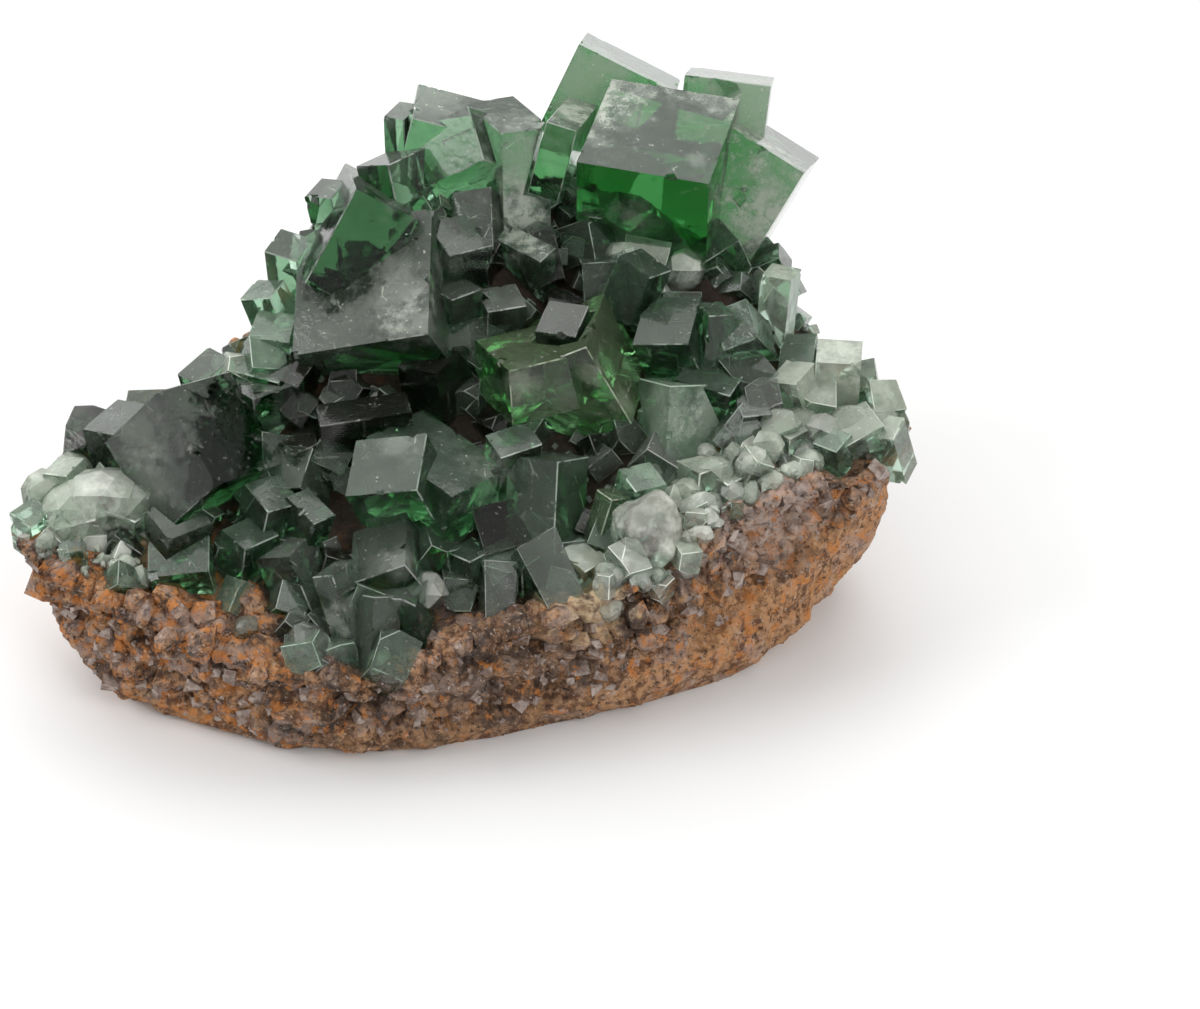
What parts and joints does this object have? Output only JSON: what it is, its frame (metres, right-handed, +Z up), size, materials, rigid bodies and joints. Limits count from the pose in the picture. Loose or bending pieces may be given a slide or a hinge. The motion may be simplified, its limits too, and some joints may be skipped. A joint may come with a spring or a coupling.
{
  "type": "fluorite specimen",
  "caption": "Cluster of clear green fluorite cubes grown on a boat-shaped piece of brown host rock with a flat underside.",
  "frame": {"origin": "middle of the specimen's outline, on the ground", "axes": "+Z up, +X along the long side, the side seen in the picture faces -Y"},
  "size_m": [0.0632, 0.0508, 0.0333],
  "materials": {
    "rock": "rough grainy rock, brown with rust stains and a dark band",
    "fluorite": "clear green crystal with satin grey-green faces",
    "pale_fluorite": "pale, cloudy green-white crystal with frosted faces"
  },
  "bodies": {
    "root": {"matrix": "rock", "centre_cube": "fluorite", "top_crystals": "fluorite", "top_foot_crystal": "fluorite", "dark_bar": "fluorite", "dark_cube": "fluorite", "dark_slab": "fluorite", "front_centre_crystals": "fluorite", "front_grey_crystals": "fluorite", "front_grey_cube": "fluorite", "front_left_crystals": "fluorite", "front_rim_crystal": "pale_fluorite", "front_rim_green_crystal": "pale_fluorite", "front_rim_pale_crystal": "pale_fluorite", "left_crystals": "fluorite", "left_rim_back_crystal": "pale_fluorite", "left_rim_dark_crystal": "pale_fluorite", "left_rim_grey_crystal": "pale_fluorite", "left_rim_milky_crystal": "pale_fluorite", "left_rim_pale_crystal": "pale_fluorite", "left_tip_crystal": "pale_fluorite", "olive_prism": "fluorite", "pale_cube": "pale_fluorite", "peak_crystals": "fluorite", "peak_side_crystal": "fluorite", "peak_step_crystals": "fluorite", "ridge_crystals": "fluorite", "right_centre_crystals": "fluorite", "right_pair": "fluorite", "right_rim_crystals": "fluorite", "right_rim_grey_crystal": "pale_fluorite", "right_rim_low_crystal": "pale_fluorite", "right_rim_mint_crystal": "pale_fluorite", "right_rim_round_crystal": "pale_fluorite", "right_rim_tall_crystal": "pale_fluorite", "right_step": "fluorite", "right_tip_crystal": "pale_fluorite", "small_grey_cube": "fluorite", "streaked_cube": "fluorite", "white_lump": "pale_fluorite"}
  },
  "joints": []
}
